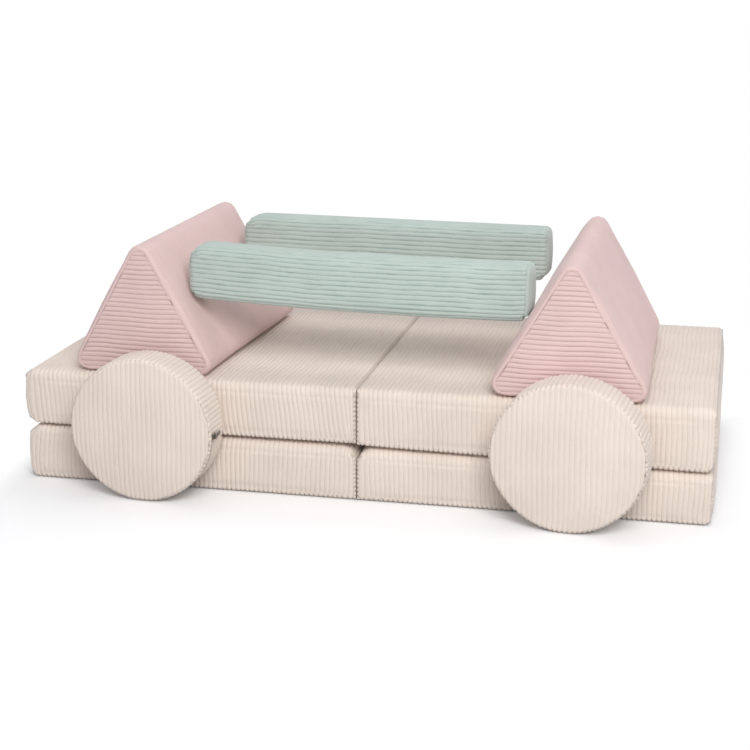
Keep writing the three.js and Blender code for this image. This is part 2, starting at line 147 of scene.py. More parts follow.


# Cotton corduroy: matt, soft sheen at the edges of a form, darker between the wales (partly the pile's own
# darker roots, partly painted shade in the grooves) and along seams and hems (painted shade in the creases),
# pile worn unevenly
def corduroy(name, crest, valley, wear):
    material, tree = newMaterial(name)
    place = addNode(tree, "ShaderNodeTexCoord").outputs["Object"]
    # The attribute read next darkens the valleys between the wales, partly the pile's own colour and partly
    # painted shade, and the seams and hems with painted shade
    pile = addNode(tree, "ShaderNodeAttribute", attribute_name="pile").outputs["Fac"]
    nap = addNode(tree, "ShaderNodeAttribute", attribute_name="nap").outputs["Vector"]
    # Worn marks are about 9 mm across the wales and 40 mm along them
    stretch = addNode(tree, "ShaderNodeMapping", {"Vector": nap, "Scale": (110.0, 24.0, 1.0)})
    crushed = addNode(tree, "ShaderNodeTexNoise", {"Vector": stretch.outputs[0], "Scale": 1.0, "Detail": 3.0})
    spread = {"To Min": -wear, "To Max": wear, **noise}
    lift = addNode(tree, "ShaderNodeMapRange", {"Value": crushed.outputs["Fac"], **spread})
    # Painted shade from the valleys and seams is added here to the real crushed wear
    wearAndShade = addNode(tree, "ShaderNodeMath", {0: pile, 1: lift.outputs[0]}, operation="ADD")
    height = addNode(
        tree, "ShaderNodeMapRange", {"Value": wearAndShade.outputs[0], "From Min": 0.05, "From Max": 0.6}
    )
    # The valley colour is partly the pile's own colour and partly painted shade in the grooves
    colours = {0: height.outputs[0], 6: colourOf(valley), 7: colourOf(crest)}
    wale = addNode(tree, "ShaderNodeMix", colours, data_type="RGBA")
    # Brushed patches are about 90 mm across, pile tufts about 1.2 mm
    brushed = addNode(tree, "ShaderNodeTexNoise", {"Vector": place, "Scale": 11.0, "Detail": 3.0})
    tufts = addNode(tree, "ShaderNodeTexNoise", {"Vector": place, "Scale": 800.0, "Detail": 2.0})
    spread = {"To Min": 0.955, "To Max": 1.035, **noise}
    patches = addNode(tree, "ShaderNodeMapRange", {"Value": brushed.outputs["Fac"], **spread})
    spread = {"To Min": 0.95, "To Max": 1.04, **noise}
    fibres = addNode(tree, "ShaderNodeMapRange", {"Value": tufts.outputs["Fac"], **spread})
    tone = addNode(
        tree, "ShaderNodeMath", {0: patches.outputs[0], 1: fibres.outputs[0]}, operation="MULTIPLY"
    )
    colour = addNode(
        tree, "ShaderNodeVectorMath", {0: wale.outputs[2], "Scale": tone.outputs[0]}, operation="SCALE"
    )
    bump = addNode(
        tree, "ShaderNodeBump", {"Height": tufts.outputs["Fac"], "Strength": 0.35, "Distance": 0.4 * mm}
    )
    inputs = {
        "Base Color": colour.outputs[0],
        "Roughness": 0.95,
        "Specular IOR Level": 0.2,
        "Sheen Weight": 0.25,
        "Sheen Roughness": 0.45,
        "Normal": bump.outputs[0],
    }
    shade(tree, addNode(tree, "ShaderNodeBsdfPrincipled", inputs))
    return material


# Plain woven polyester tape: fine even threads about 0.8 mm apart
def wovenTape(name, colour):
    material, tree = newMaterial(name)
    place = addNode(tree, "ShaderNodeTexCoord").outputs["Object"]
    threads = addNode(tree, "ShaderNodeTexNoise", {"Vector": place, "Scale": 1200.0, "Detail": 2.0})
    tinted = mottled(tree, colour, {"Value": threads.outputs["Fac"], "To Min": 0.86, "To Max": 1.05, **noise})
    bump = addNode(
        tree, "ShaderNodeBump", {"Height": threads.outputs["Fac"], "Strength": 0.4, "Distance": 0.3 * mm}
    )
    inputs = {"Base Color": tinted, "Roughness": 0.85, "Normal": bump.outputs[0]}
    shade(tree, addNode(tree, "ShaderNodeBsdfPrincipled", inputs))
    return material


# Moulded nylon zip teeth: hard, a little shiny
def mouldedNylon(name, colour):
    material, tree = newMaterial(name)
    inputs = {"Base Color": colourOf(colour), "Roughness": 0.35}
    shade(tree, addNode(tree, "ShaderNodeBsdfPrincipled", inputs))
    return material


# Open-cell polyurethane foam: cream, quite matt, with pores of about 1 mm
def cutFoam(name, colour):
    material, tree = newMaterial(name)
    place = addNode(tree, "ShaderNodeTexCoord").outputs["Object"]
    pores = addNode(tree, "ShaderNodeTexVoronoi", {"Vector": place, "Scale": 900.0})
    spread = {"Value": pores.outputs["Distance"], "From Max": 0.6, "To Min": 0.8, "To Max": 1.0}
    tinted = mottled(tree, colour, spread)
    bump = addNode(
        tree, "ShaderNodeBump", {"Height": pores.outputs["Distance"], "Strength": 0.5, "Distance": 0.5 * mm}
    )
    inputs = {"Base Color": tinted, "Roughness": 0.95, "Normal": bump.outputs[0]}
    shade(tree, addNode(tree, "ShaderNodeBsdfPrincipled", inputs))
    return material


# Die-cast zinc, nickel plated: grey, half bright, dulled in patches by handling
def platedZinc(name, colour):
    material, tree = newMaterial(name)
    place = addNode(tree, "ShaderNodeTexCoord").outputs["Object"]
    wear = addNode(tree, "ShaderNodeTexNoise", {"Vector": place, "Scale": 260.0, "Detail": 4.0})
    rough = addNode(
        tree, "ShaderNodeMapRange", {"Value": wear.outputs["Fac"], "To Min": 0.28, "To Max": 0.5, **noise}
    )
    tinted = mottled(tree, colour, {"Value": wear.outputs["Fac"], "To Min": 1.0, "To Max": 0.8, **noise})
    inputs = {"Base Color": tinted, "Metallic": 1.0, "Roughness": rough.outputs[0]}
    shade(tree, addNode(tree, "ShaderNodeBsdfPrincipled", inputs))
    return material


materials = {
    # Crest and valley colours: the darker valley colour is partly the pile's own colour and partly painted
    # shade in the grooves
    "cream": corduroy("cream cotton corduroy", "E6D8CC", "D2C2B5", 0.12),
    "pink": corduroy("dusty pink cotton corduroy", "DEC2BE", "C0A29D", 0.12),
    "mint": corduroy("sage cotton corduroy", "BAC6BF", "9BADA4", 0.36),
    "tape": wovenTape("woven polyester zip tape", "CFC4B8"),
    "teeth": mouldedNylon("moulded nylon teeth", "D9CFC4"),
    "strip": wovenTape("woven cotton hinge cloth", "D8CCC0"),
    "foam": cutFoam("cut polyurethane foam", "EBE5D3"),
    "metal": platedZinc("nickel plated zinc", "9A9793"),
}
print("materials made")


# Shapes of the blocks' sections, as seen along the block. Points and normals on a fine outline

def outlineOf(corners, radii):
    steps = grid["cornerSteps"]
    corners = [Vector(corner) * mm for corner in corners]
    points, normals = [], []
    for i, corner in enumerate(corners):
        before = (corner - corners[i - 1]).normalized()
        after = (corners[(i + 1) % len(corners)] - corner).normalized()
        first, last = Vector((before.y, -before.x)), Vector((after.y, -after.x))
        radius = radii[i] * mm
        centre = corner - (first + last) * radius / (1 + first.dot(last))
        start = math.atan2(first.y, first.x)
        turn = math.atan2(first.x * last.y - first.y * last.x, first.dot(last))
        for k in range(steps + 1):
            angle = start + turn * k / steps
            normal = Vector((math.cos(angle), math.sin(angle)))
            points.append(centre + radius * normal)
            normals.append(normal)
    points.append(points[0])
    normals.append(normals[0])
    points, normals = np.array(points), np.array(normals)
    spans = np.linalg.norm(np.diff(points, axis=0), axis=1)
    lengths = np.concatenate([[0], np.cumsum(spans)])
    arcs = [(lengths[i * (steps + 1)], lengths[i * (steps + 1) + steps]) for i in range(len(corners))]
    return {"points": points, "normals": normals, "lengths": lengths, "arcs": arcs}


def onOutline(outline, stops):
    columns = np.hstack([outline["points"], outline["normals"]]).T
    return np.stack([np.interp(stops, outline["lengths"], column) for column in columns], axis=-1)


def ribStops(length, share=0.0):
    count = round(length / cloth["pitch"] - share) + share
    phases = (np.arange(math.ceil(count))[:, None] + np.array(grid["waleStops"])).ravel()
    phases = np.append(phases[phases < count - grid["leastStep"]], count)
    return phases * length / count, phases % 1.0


# The spacing of the wales on the face that is folded against the other half
def foldPitch(kind):
    height = (kind["corners"][2][1] - kind["corners"][1][1]) * mm
    return height / round(height / cloth["pitch"])


def evenStops(marks):
    marks = np.unique(np.round(np.array(marks), grid["decimals"]))
    stops = [marks[0]]
    for low, high in zip(marks, marks[1:]):
        count = max(1, math.ceil((high - low) / grid["stride"] - grid["leastStride"]))
        stops.extend(low + (high - low) * k / count for k in range(1, count + 1))
    return np.array(stops)


def selectOnly(*objects):
    bpy.ops.object.select_all(action="DESELECT")
    for obj in objects:
        obj.select_set(True)
    bpy.context.view_layer.objects.active = objects[0]


def addMesh(add, **settings):
    bpy.ops.object.select_all(action="DESELECT")
    add(**settings)
    return bpy.context.object


# A modifier on the active object, applied at once
def applyModifier(obj, kind, **settings):
    modifier = obj.modifiers.new(kind.lower(), kind)
    for name, value in settings.items():
        setattr(modifier, name, value)
    bpy.ops.object.modifier_apply(modifier=modifier.name)


# A tool of edit mode on the whole mesh of the active object
def editWhole(tool, **settings):
    bpy.ops.object.mode_set(mode="EDIT")
    bpy.ops.mesh.select_all(action="SELECT")
    tool(**settings)
    bpy.ops.object.mode_set(mode="OBJECT")


# Panels of cloth. A block has one panel wrapped round it and one on each end

def addPanel(points, values):
    rows, columns = points.shape[:2]
    steps = {"x_subdivisions": columns - 1, "y_subdivisions": rows - 1}
    panel = addMesh(bpy.ops.mesh.primitive_grid_add, size=1, **steps)
    panel.data.vertices.foreach_set("co", points.reshape(-1))
    for name, value in values.items():
        vector = value.ndim == 3
        attribute = panel.data.attributes.new(name, "FLOAT_VECTOR" if vector else "FLOAT", "POINT")
        attribute.data.foreach_set("vector" if vector else "value", value.reshape(-1))
    return panel


def inBlock(kind, axial, across, up):
    stack = (axial, across, up) if kind["axis"] == 0 else (across, axial, up)
    return np.stack(stack, axis=-1)


def wrapPanel(kind, outline):
    half = kind["half"] * mm
    low, high = (rim * mm for rim in kind["rims"])
    lowTurn, highTurn = kind["turns"]
    lowArc, highArc = low * lowTurn, high * highTurn
    straight = 2 * half - low - high
    total = lowArc + straight + highArc
    around = outline["lengths"][-1]
    if kind["ribsRound"]:
        s, phase = ribStops(around)
        near = [d * mm for d in grid["seamStops"][:-1]]
        marks = [0, total / 2, total] + near + [total - d for d in near]
        count = grid["rimSteps"]
        for k in range(1, count + 1):
            marks += [lowArc * k / count, total - highArc * k / count]
        marks += [total / 2 + d * mm for d in kind.get("zipMarks", ())]
        t = evenStops(marks)
    else:
        t, phase = ribStops(total, kind.get("lastRib", 0.0))
        marks = [0, around]
        for first, last in outline["arcs"]:
            marks += [first + (last - first) * k / grid["edgeSteps"] for k in range(grid["edgeSteps"] + 1)]
        marks += [first * mm for first in kind.get("roundMarks", ())]
        if "stitch" in kind:
            step, edge = foldPitch(kind) / grid["foldSteps"], kind["radii"][0] * mm
            top = (kind["corners"][2][1] - kind["radii"][2]) * mm
            marks += [around + (edge - z) for z in np.arange(step, top, step) if z > edge]
        s = evenStops(marks)
    gridT, gridS = np.meshgrid(t, s, indexing="ij")
    startPhi = np.clip((lowArc - gridT) / low, 0, lowTurn)
    endPhi = np.clip((gridT - lowArc - straight) / high, 0, highTurn)
    square = kind.get("square", 1)
    startIn, endIn = (1 - np.maximum(np.cos(phi), 0) ** square for phi in (startPhi, endPhi))
    axial = -half + low * (1 - np.sin(startPhi) ** square) + np.clip(gridT - lowArc, 0, straight)
    axial += high * np.sin(endPhi) ** square
    inset = low * startIn + high * endIn
    section = onOutline(outline, gridS)
    across = section[..., 0] - inset * section[..., 2]
    up = section[..., 1] - inset * section[..., 3]
    rib = np.broadcast_to(phase[None, :] if kind["ribsRound"] else phase[:, None], gridT.shape)
    seam = np.minimum(gridT, total - gridT)
    if kind["ribsRound"]:
        cross = inBlock(kind, np.zeros_like(gridT), -section[..., 3], section[..., 2])
        nap = np.stack([gridS, gridT, np.zeros_like(gridT)], axis=-1)
    else:
        cross = inBlock(kind, np.ones_like(gridT), np.zeros_like(gridT), np.zeros_like(gridT))
        nap = np.stack([gridT, gridS, np.zeros_like(gridT)], axis=-1)
    hem = np.full(gridT.shape, 1.0)
    for place in kind.get("hems", ()):
        hem = np.minimum(hem, np.abs(gridS - place * mm))
    values = {
        "rib": rib,
        "seam": seam,
        "hem": hem,
        "panel": np.zeros_like(gridT),
        "cross": cross,
        "nap": nap,
    }
    panel = addPanel(inBlock(kind, axial, across, up), values)
    editWhole(bpy.ops.mesh.remove_doubles, threshold=grid["merge"])
    return panel


def endPanel(kind, outline, side):
    half = kind["half"] * mm
    rim, turn = kind["rims"][side > 0] * mm, kind["turns"][side > 0]
    sunk = rim * (1 - math.cos(turn))
    edge = outline["points"] - outline["normals"] * sunk
    ribbed = 0 if kind["endRibsUp"] else 1
    other = 1 - ribbed
    middle = (edge[:, other].min() + edge[:, other].max()) / 2
    spare = kind["endSpare"] * mm
    lowest, highest = edge[:, ribbed].min() + spare, edge[:, ribbed].max() - spare
    c, phase = ribStops(highest - lowest)
    c = c + lowest
    sides = []
    for mask in (edge[:, other] <= middle, edge[:, other] >= middle):
        chosen = edge[mask]
        order = np.argsort(chosen[:, ribbed], kind="stable")
        sides.append(np.interp(c, chosen[order, ribbed], chosen[order, other]))
    chord = max(sides[1] - sides[0])
    near = [d * mm / chord for d in grid["seamStops"]]
    marks = [0, 1] + near + [1 - d for d in near] + [d * mm / chord + 0.5 for d in kind.get("endMarks", ())]
    v = evenStops(np.array(marks) * chord) / chord
    gridV = np.broadcast_to(v[None, :], (len(c), len(v)))
    gridC = np.broadcast_to(c[:, None], gridV.shape)
    across = sides[0][:, None] + (sides[1] - sides[0])[:, None] * gridV
    flat = np.stack([gridC, across] if ribbed == 0 else [across, gridC], axis=-1)
    fine = onOutline(outline, np.linspace(0, outline["lengths"][-1], grid["outlineSamples"]))
    fine = fine[:, :2] - fine[:, 2:] * sunk
    seam = np.linalg.norm(flat[:, :, None, :] - fine[None, None], axis=-1).min(axis=-1)
    depth = np.clip(1 - (sunk + seam) / rim, 0, 1)
    axial = side * (half - rim + rim * np.sqrt(1 - depth**2))
    zero, one = np.zeros_like(seam), np.ones_like(seam)
    cross = inBlock(kind, zero, one, zero) if ribbed == 0 else inBlock(kind, zero, zero, one)
    values = {
        "rib": np.broadcast_to(phase[:, None], seam.shape),
        "seam": seam,
        "hem": one,
        "panel": one,
        "cross": cross,
        "nap": np.stack([gridC, across, one * side], axis=-1),
    }
    return addPanel(inBlock(kind, axial, flat[..., 0], flat[..., 1]), values)


# Sews the wrapped panel to each end panel: a strip of triangles between the two edges, in order of angle
def sewEnds(skin, kind, centre):
    axis = kind["axis"]
    other = 1 - axis
    bm = bmesh.new()
    bm.from_mesh(skin.data)
    panelLayer = bm.verts.layers.float["panel"]
    for side in (-1, 1):
        loops = []
        for isEnd in (False, True):
            edge = [
                vert
                for vert in bm.verts
                if vert.is_boundary and (vert[panelLayer] > 0.5) == isEnd and vert.co[axis] * side > 0
            ]
            turned = [math.atan2(vert.co.z - centre[1], vert.co[other] - centre[0]) for vert in edge]
            order = sorted(range(len(edge)), key=turned.__getitem__)
            loops.append(([edge[k] for k in order], [turned[k] for k in order]))
        (wrap, wrapTurn), (end, endTurn) = loops
        i = j = 0
        while i < len(wrap) or j < len(end):
            nextWrap = wrapTurn[i + 1] if i + 1 < len(wrap) else wrapTurn[0] + 2 * math.pi
            nextEnd = endTurn[j + 1] if j + 1 < len(end) else endTurn[0] + 2 * math.pi
            here, there = wrap[i % len(wrap)], end[j % len(end)]
            if j >= len(end) or (i < len(wrap) and nextWrap <= nextEnd):
                bm.faces.new((here, wrap[(i + 1) % len(wrap)], there))
                i += 1
            else:
                bm.faces.new((here, end[(j + 1) % len(end)], there))
                j += 1
    bm.to_mesh(skin.data)
    bm.free()


def readValues(mesh, name, width=1):
    values = np.empty(len(mesh.vertices) * width, np.float32)
    mesh.attributes[name].data.foreach_get("vector" if width == 3 else "value", values)
    return values.reshape(-1, width).squeeze() if width == 1 else values.reshape(-1, width)


def readPoints(mesh):
    points = np.empty(len(mesh.vertices) * 3, np.float32)
    mesh.vertices.foreach_get("co", points)
    return points.reshape(-1, 3).astype(float)


def readNormals(mesh):
    normals = np.empty(len(mesh.vertices) * 3, np.float32)
    mesh.vertex_normals.foreach_get("vector", normals)
    return normals.reshape(-1, 3).astype(float)


def writePoints(mesh, points):
    mesh.vertices.foreach_set("co", points.astype(np.float32).reshape(-1))
    mesh.update()


def smoothStep(x):
    x = np.clip(x, 0, 1)
    return x * x * (3 - 2 * x)


# A node of a kind's first block, in the block's own frame, merged, closed and remeshed
def remeshed(kind, part, voxel, rounds):
    form = bpy.data.objects.new(kind["name"] + part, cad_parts[f"{kind['pattern']}_{part}"].data.copy())
    scene.collection.objects.link(form)
    form.data.transform(homeOf(kind["pattern"]).inverted())
    points = readPoints(form.data)
    points[:, 2] += hangOf(kind, points)
    writePoints(form.data, points)
    selectOnly(form)
    editWhole(bpy.ops.mesh.remove_doubles, threshold=grid["merge"])
    editWhole(bpy.ops.mesh.convex_hull)
    applyModifier(form, "REMESH", mode="VOXEL", voxel_size=voxel * mm)
    applyModifier(form, "SMOOTH", iterations=rounds)
    return form


# The padded form of a block: its CAD cover, drawn in a little, then blown up between its seams
def paddedForm(kind, seamLines):
    form = remeshed(kind, "cover", kind["voxel"], 1)
    outer = readPoints(form.data)
    away = np.full(len(outer), 1.0)
    for line in seamLines:
        for start in range(0, len(line), grid["chunk"]):
            piece = line[start : start + grid["chunk"]]
            away = np.minimum(away, np.linalg.norm(outer[:, None] - piece[None], axis=-1).min(axis=1))
    held = 1 - smoothStep(away / cloth["puffReach"])
    writePoints(form.data, outer - readNormals(form.data) * cloth["puff"])
    inner = readPoints(form.data)
    group = form.vertex_groups.new(name="seams")
    for k in np.nonzero(held > cloth["leastHold"])[0]:
        group.add([int(k)], float(held[k]), "REPLACE")
    pressure = form.modifiers.new("cloth", "CLOTH")
    pressure.settings.use_pressure = True
    pressure.settings.uniform_pressure_force = cloth["pressure"]
    pressure.settings.effector_weights.gravity = 0
    pressure.settings.vertex_group_mass = "seams"
    pressure.point_cache.frame_end = cloth["pressureSteps"]
    for step in range(1, cloth["pressureSteps"] + 1):
        scene.frame_set(step)
    bpy.ops.object.modifier_apply(modifier=pressure.name)
    scene.frame_set(1)
    moved = readPoints(form.data) - inner
    reach = np.linalg.norm(moved, axis=1)
    grown = inner + moved * np.minimum(1, cloth["puff"] / np.maximum(reach, grid["least"]))[:, None]
    writePoints(form.data, grown)
    return form


def hangOf(kind, points):
    reach = (kind["half"] - kind["rims"][0]) * mm
    sag = kind.get("sag", 0) * mm
    return sag * np.maximum(1 - (points[:, 0] / reach) ** 2, 0)


def homeOf(block):
    place = blocks[block]
    turn = Matrix.Rotation(place.get("yaw", 0), 4, "Z") @ Matrix.Rotation(place.get("tilt", 0), 4, "Y")
    return Matrix.Translation([value * mm for value in place["at"]]) @ turn


# How far into a block the cloth lies beside its zip, from 0 to 1
def zipChannel(kind, points, normals):
    chain = kind["zip"]
    spare, slack = (value * mm for value in channels["zip"][:2])
    if "turn" in chain:
        angle = np.arctan2(points[:, 2], points[:, 0])
        first = chain["first"] + chain["lead"] / kind["radius"]
        along = np.abs((first - chain["turn"] / 2 - angle + math.pi) % (2 * math.pi) - math.pi)
        lengthwise = along * kind["radius"] * mm - chain["turn"] / 2 * kind["radius"] * mm
        sideways = np.abs(points[:, 1] - chain["rise"] * mm) - chain["width"] / 2 * mm
        facing = np.hypot(normals[:, 0], normals[:, 2]) > channels["facing"]
    else:
        lengthwise = np.abs(points[:, 0]) - chain["length"] / 2 * mm
        settledZ = points[:, 2] - hangOf(kind, points)
        sideways = np.abs(settledZ - chain["rise"] * mm) - chain["width"] / 2 * mm
        facing = normals[:, 1] > channels["facing"]
    outside = np.maximum(lengthwise, sideways)
    return facing * (1 - smoothStep((outside - spare) / slack))


# The same for the cloth hinge under the fold
def hingeRecess(kind, points, normals):
    if "hinge" not in kind:
        return np.zeros(len(points))
    width, length = kind["hinge"]
    spare, slack = (value * mm for value in channels["hinge"][:2])
    inner = (kind["half"] - width / 2) * mm
    outside = np.maximum(inner - points[:, 0], np.abs(points[:, 1]) - length / 2 * mm)
    return (normals[:, 2] < -channels["facing"]) * (1 - smoothStep((outside - spare) / slack))


def makeSkin(kind):
    outline = outlineOf(kind["corners"], kind["radii"])
    centre = (outline["points"].max(axis=0) + outline["points"].min(axis=0)) / 2
    if "centre" in kind:
        centre = [value * mm for value in kind["centre"]]
    panels = [wrapPanel(kind, outline), endPanel(kind, outline, -1), endPanel(kind, outline, 1)]
    selectOnly(*panels)
    bpy.ops.object.join()
    skin = panels[0]
    skin.name = kind["name"]
    sewEnds(skin, kind, centre)
    section = onOutline(outline, np.linspace(0, outline["lengths"][-1], grid["rimSamples"]))
    seamLines = []
    for side, rim, turn in zip((-1, 1), kind["rims"], kind["turns"]):
        edge = section[:, :2] - section[:, 2:] * rim * mm * (1 - math.cos(turn))
        axial = np.full(len(edge), side * (kind["half"] - rim * (1 - math.sin(turn))) * mm)
        seamLines.append(inBlock(kind, axial, edge[:, 0], edge[:, 1]))
    for place in kind.get("hems", ()):
        spot = onOutline(outline, np.array([place * mm]))[0]
        axial = np.linspace(-kind["half"], kind["half"], grid["hemSamples"]) * mm
        seamLines.append(inBlock(kind, axial, np.full(len(axial), spot[0]), np.full(len(axial), spot[1])))
    form = paddedForm(kind, seamLines)
    selectOnly(skin)
    editWhole(bpy.ops.mesh.normals_make_consistent, inside=False)
    cut, cutNormals = readPoints(skin.data), readNormals(skin.data)
    applyModifier(skin, "SHRINKWRAP", target=form, wrap_method="NEAREST_SURFACEPOINT")
    bpy.data.objects.remove(form)
    moved = readPoints(skin.data) - cut
    inward = -(moved * cutNormals).sum(axis=1)
    spared = np.maximum(inward - cloth["give"], 0)
    writePoints(skin.data, cut + moved + cutNormals * spared[:, None])
    editWhole(bpy.ops.mesh.normals_make_consistent, inside=False)

    points, normals = readPoints(skin.data), readNormals(skin.data)
    rib, seam, hem, panel = (readValues(skin.data, name) for name in ("rib", "seam", "hem", "panel"))
    nap = readValues(skin.data, "nap", 3)
    height = np.abs(np.sin(np.pi * rib)) ** cloth["fullness"]
    relief = np.where(panel > 0.5, kind["reliefs"][1], kind["reliefs"][0])
    share, length, shift = cloth["uneven"]
    uneven = 1 + share * np.sin(nap[:, 1] / length + shift * np.floor(nap[:, 0] / cloth["pitch"]))
    shares = kind.get("seamShares", (1, 1))
    nearSeam = np.exp(-((seam / cloth["seamWidth"]) ** 2))
    sewn = nearSeam * np.where(points[:, kind["axis"]] > 0, shares[1], shares[0])
    hemmed = np.exp(-((hem / cloth["seamWidth"]) ** 2))
    flattened = np.maximum(nearSeam * kind.get("flatten", cloth["seamFlat"]), cloth["seamFlat"] * hemmed)
    sunken = cloth["depth"] * (1 - height) * relief * uneven * (1 - flattened)
    pull, less = cloth["seamPull"]
    sunken += cloth["seamDip"] * (pull - less * height) * (sewn + hemmed)
    if "pucker" in kind:
        place, reach, depth = (value * mm for value in kind["pucker"])
        sunken += depth * (1 - height) * (panel < 0.5) * np.exp(-(((nap[:, 1] - place) / reach) ** 2))
    if "gather" in kind:
        reach, depth = (value * mm for value in kind["gather"])
        full = 1 - cloth["gatherLoss"] * panel
        sunken += depth * (1 - height) * full * np.exp(-((seam / reach) ** 2))
    for place, width, depth in kind.get("topstitches", ()):
        sunken += depth * mm * (panel < 0.5) * np.exp(-(((seam - place * mm) / (width * mm)) ** 2))
    channel = zipChannel(kind, points, normals)
    sunken = sunken * (1 - channel) + channel * channels["zip"][2] * mm
    recess = hingeRecess(kind, points, normals)
    sunken = sunken * (1 - recess) + recess * channels["hinge"][2] * mm
    points -= normals * sunken[:, None]
    if "stitch" in kind:
        between = 1 - np.abs(np.sin(np.pi * points[:, 2] / foldPitch(kind))) ** cloth["fullness"]
        beside = np.exp(-((seam / cloth["stitchReach"]) ** 2)) * (cut[:, 0] > 0)
        points[:, 0] -= kind["stitch"] * mm * between * beside
    writePoints(skin.data, points)
    # The colour is darker in the valleys, partly the pile's own colour and partly painted shade, and along
    # seams and hems with painted shade in the creases
    less = cloth["seamShade"]
    valley = (1 - (1 - height) * relief) * (1 - less * sewn) * (1 - less * hemmed)
    pile = skin.data.attributes.new("pile", "FLOAT", "POINT")
    pile.data.foreach_set("value", valley.astype(np.float32))
    bpy.ops.object.shade_smooth()
    skin.hide_render = True
    print(kind["name"], "skin made:", len(skin.data.polygons), "faces")
    return skin


# The foam inside a block: the CAD core, drawn in to stay under the deepest grooves of the cover
foam = {"coarser": 2, "rounds": 2, "inset": 3.4}


def makeCore(kind):
    core = remeshed(kind, "core", kind["voxel"] + foam["coarser"], foam["rounds"])
    writePoints(core.data, readPoints(core.data) - readNormals(core.data) * foam["inset"] * mm)
    bpy.ops.object.shade_smooth()
    core.hide_render = True
    return core


zipParts = {
    "tapeThickness": 0.7,
    "pitch": 1.8,
    "tooth": (1.0, 2.7, 1.3),
    "toothBevel": 0.25,
    "overlap": 0.45,
    "sunk": 0.15,
    "stop": (2.2, 4.6, 1.5),
    "column": 4,
    "rows": 4,
}


# A zip in its own frame: X along the chain, Y across it, Z out of the cover, then laid on its block
def makeZip(kind):
    chain = kind["zip"]
    length = chain.get("length") or chain["turn"] * kind["radius"]
    steps = {"x_subdivisions": round(length / zipParts["column"]), "y_subdivisions": zipParts["rows"]}
    tape = addMesh(bpy.ops.mesh.primitive_grid_add, size=1, **steps)
    floorZ = -chain["thickness"] + zipParts["tapeThickness"]
    spread = Matrix.Diagonal((length * mm, chain["width"] * mm, 1, 1))
    tape.data.transform(Matrix.Translation((0, 0, floorZ * mm)) @ spread)
    applyModifier(tape, "SOLIDIFY", thickness=zipParts["tapeThickness"] * mm, offset=-1)
    tape.data.materials.append(materials["tape"])

    size = zipParts["tooth"]
    count = math.floor((length - 2 * zipParts["stop"][0]) / zipParts["pitch"])
    top = -zipParts["sunk"] - size[2] / 2
    rows = []
    for side in (-1, 1):
        row = addMesh(bpy.ops.mesh.primitive_cube_add, size=1)
        first = -(count - 1) / 2 * zipParts["pitch"] + side * zipParts["pitch"] / 4
        place = (first * mm, side * (size[1] / 2 - zipParts["overlap"]) * mm, top * mm)
        row.data.transform(Matrix.Translation(place) @ Matrix.Diagonal([value * mm for value in size] + [1]))
        applyModifier(row, "BEVEL", width=zipParts["toothBevel"] * mm, segments=1)
        offset = {"use_relative_offset": False, "use_constant_offset": True}
        offset["constant_offset_displace"] = (zipParts["pitch"] * mm, 0, 0)
        applyModifier(row, "ARRAY", count=count, **offset)
        rows.append(row)
    for side in (-1, 1):
        stop = addMesh(bpy.ops.mesh.primitive_cube_add, size=1)
        place = (side * (length - zipParts["stop"][0]) / 2 * mm, 0, top * mm)
        spread = Matrix.Diagonal([value * mm for value in zipParts["stop"]] + [1])
        stop.data.transform(Matrix.Translation(place) @ spread)
        rows.append(stop)
    for row in rows:
        row.data.materials.append(materials["teeth"])
    selectOnly(tape, *rows)
    bpy.ops.object.join()
    along, across, out = readPoints(tape.data).T
    if "turn" in chain:
        radius = kind["radius"] * mm
        first = chain["first"] + chain["lead"] / kind["radius"]
        angle = first - chain["turn"] / 2 - along / radius
        stack = ((radius + out) * np.cos(angle), chain["rise"] * mm + across, (radius + out) * np.sin(angle))
    else:
        stack = (along, chain["back"] * mm + out, chain["rise"] * mm - across)
    writePoints(tape.data, np.stack(stack, axis=-1))
    tape.name = kind["name"] + "Zip"
    tape.hide_render = True
    return tape


# Where each block stands: the middle of its bottom or of the block, in mm, and its turn
blocks = {
    "mat_lower_left": {
        "kind": "matHalf",
        "at": (-300.15, 44.7478, 0),
        "lean": -0.03,
        "rounded": ((1, 1, 26, -280), (-1, 1, 26, 400), (-1, -1, 17, 400)),
        "press": ("top", 6, 2.5),
        "bulge": 2.5,
    },
    "mat_lower_right": {
        "kind": "matHalf",
        "at": (300.15, 44.7478, 0),
        "mirror": True,
        "lean": 0.02,
        "rounded": ((1, 1, 30, -280), (-1, 1, 6, 400), (-1, -1, 12, 400)),
        "press": ("top", 6, 12.5),
    },
    "mat_upper_left": {
        "kind": "matHalf",
        "at": (-300.15, 44.7478, 100.3),
        "lean": 0.09,
        "rounded": ((-1, 1, 15, 400), (-1, -1, 22, 400)),
        "bulge": 4.5,
    },
    "mat_upper_right": {
        "kind": "matHalf",
        "at": (300.15, 44.7478, 100.3),
        "mirror": True,
        "lean": 0.02,
        "rounded": ((-1, 1, 8, 400), (-1, -1, 14, 400)),
        "press": ("bottom", 1.5, 10),
    },
    "triangle_left": {"kind": "triangle", "at": (-382, 1.7478, 200.6), "yaw": -0.011, "spread": (20, 95)},
    "triangle_right": {"kind": "triangle", "at": (358, -8.2522, 200.6), "yaw": 0.001, "splay": 0.05},
    "bar_front": {
        "kind": "barFront",
        "at": (-14.937, -167.2522, 369.537),
        "yaw": -0.03,
        "tilt": 0.016,
        "rounded": ((-1, 1, 27, 200), (-1, -1, 22, 200), (1, -1, 20, 200)),
        "tuck": -4,
    },
    "bar_rear": {
        "kind": "barRear",
        "at": (-11.586, 146.7478, 370.601),
        "yaw": -0.043,
        "tilt": 0.002,
        "rounded": ((-1, 1, 27, 200), (-1, -1, 22, 200), (1, -1, 20, 200)),
        "tuck": 5,
    },
    "disc_left": {"kind": "discLeft", "at": (-357, -301.654, 125), "yaw": -0.056, "swell": 4},
    "disc_right": {"kind": "discRight", "at": (370, -304.2108, 125), "yaw": -0.078, "swell": 5},
}

